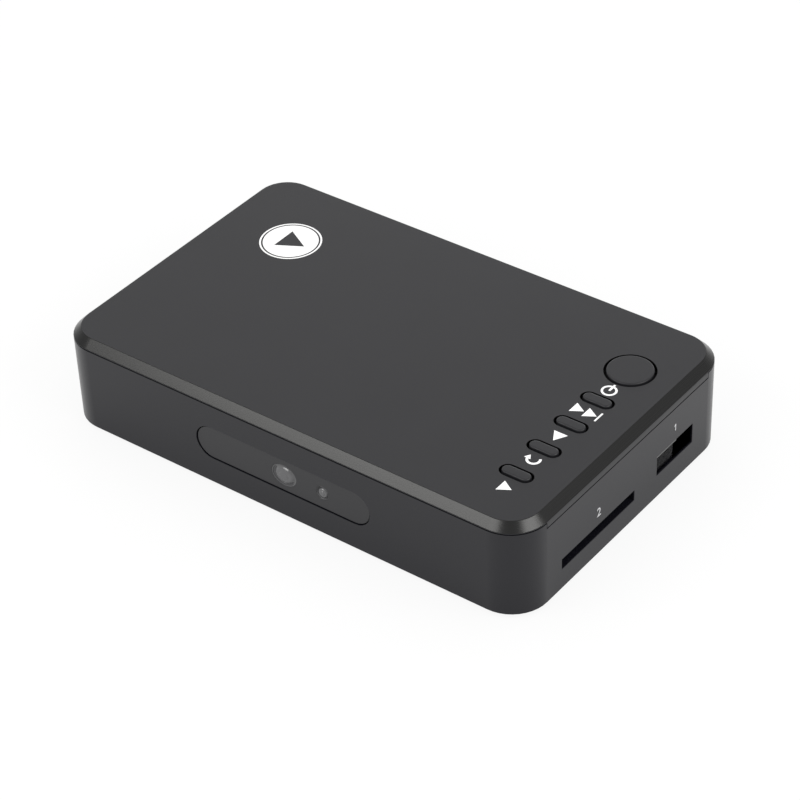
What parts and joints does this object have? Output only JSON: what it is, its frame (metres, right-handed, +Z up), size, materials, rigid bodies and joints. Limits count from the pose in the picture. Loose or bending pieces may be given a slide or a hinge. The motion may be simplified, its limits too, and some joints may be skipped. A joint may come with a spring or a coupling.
{
  "type": "digital media player",
  "caption": "Flat rounded-corner media player box with a bevelled top, top keys that press down, a front sensor window, a card slot and a drive opening in one end and sockets in the rear.",
  "frame": {"origin": "on the surface that the feet stand on, below the middle of the case", "axes": "+X along the long side, towards the end with the card slot and the drive opening; -Y out of the front with the sensor window; +Z up out of the top"},
  "size_m": [0.125, 0.0786, 0.0247],
  "materials": {
    "case_black": "satin moulded plastic, near black",
    "key_black": "satin moulded plastic, near black",
    "window_black": "smooth dark plastic",
    "lens_grey": "clear-grey moulded lens",
    "rubber_black": "matt black rubber",
    "board_green": "green solder mask",
    "sheet_steel": "bright plated sheet metal",
    "screw_steel": "dark plated steel",
    "socket_black": "black moulded plastic",
    "socket_white": "off-white moulded plastic",
    "chip_black": "moulded epoxy",
    "fin_aluminium": "plain extruded aluminium",
    "led_red": "red tinted resin",
    "ribbon_white": "white polyester ribbon"
  },
  "bodies": {
    "root": {"top_cover": "case_black", "side_frame": "case_black", "base_cover": "case_black", "foot_1": "rubber_black", "foot_2": "rubber_black", "foot_3": "rubber_black", "foot_4": "rubber_black", "case_screw_1": "screw_steel", "case_screw_2": "screw_steel", "case_screw_3": "screw_steel", "case_screw_4": "screw_steel", "main_board_screw_1": "screw_steel", "main_board_screw_2": "screw_steel", "main_board_screw_3": "screw_steel", "main_board_screw_4": "screw_steel", "key_board_screw_1": "screw_steel", "key_board_screw_2": "screw_steel", "key_board_screw_3": "screw_steel", "power_switch": "socket_black", "next_switch": "socket_black", "down_switch": "socket_black", "return_switch": "socket_black", "play_switch": "socket_black", "key_board": "board_green", "main_board": "board_green", "sensor_window": "window_black", "receiver_lens": "lens_grey", "indicator_lens": "lens_grey", "infrared_receiver": "chip_black", "status_led": "led_red", "drive_socket_shell": "sheet_steel", "drive_socket_tongue": "socket_black", "card_socket_base": "socket_black", "card_socket_cover": "sheet_steel", "video_socket_shell": "sheet_steel", "video_socket_tongue": "socket_black", "audio_jack": "socket_black", "power_jack": "socket_black", "power_jack_pin": "sheet_steel", "processor": "chip_black", "heat_sink": "fin_aluminium", "memory_chip": "chip_black", "flash_memory_chip": "chip_black", "crystal": "sheet_steel", "capacitor_1": "fin_aluminium", "capacitor_2": "fin_aluminium", "inductor": "chip_black", "key_ribbon": "ribbon_white", "key_board_connector": "socket_white", "main_board_connector": "socket_white"},
    "power_key": {"power_button": "key_black", "power_plunger": "socket_white"},
    "next_key": {"next_button": "key_black", "next_plunger": "socket_white"},
    "down_key": {"down_button": "key_black", "down_plunger": "socket_white"},
    "return_key": {"return_button": "key_black", "return_plunger": "socket_white"},
    "play_key": {"play_button": "key_black", "play_plunger": "socket_white"}
  },
  "joints": [
    {"name": "power_press", "type": "slide", "parent": "root", "child": "power_key", "axis": [0, 0, -1], "range_m": [0, 0.0004], "stiffness_N_per_m": 4000},
    {"name": "next_press", "type": "slide", "parent": "root", "child": "next_key", "axis": [0, 0, -1], "range_m": [0, 0.0004], "stiffness_N_per_m": 4000},
    {"name": "down_press", "type": "slide", "parent": "root", "child": "down_key", "axis": [0, 0, -1], "range_m": [0, 0.0004], "stiffness_N_per_m": 4000},
    {"name": "return_press", "type": "slide", "parent": "root", "child": "return_key", "axis": [0, 0, -1], "range_m": [0, 0.0004], "stiffness_N_per_m": 4000},
    {"name": "play_press", "type": "slide", "parent": "root", "child": "play_key", "axis": [0, 0, -1], "range_m": [0, 0.0004], "stiffness_N_per_m": 4000}
  ]
}
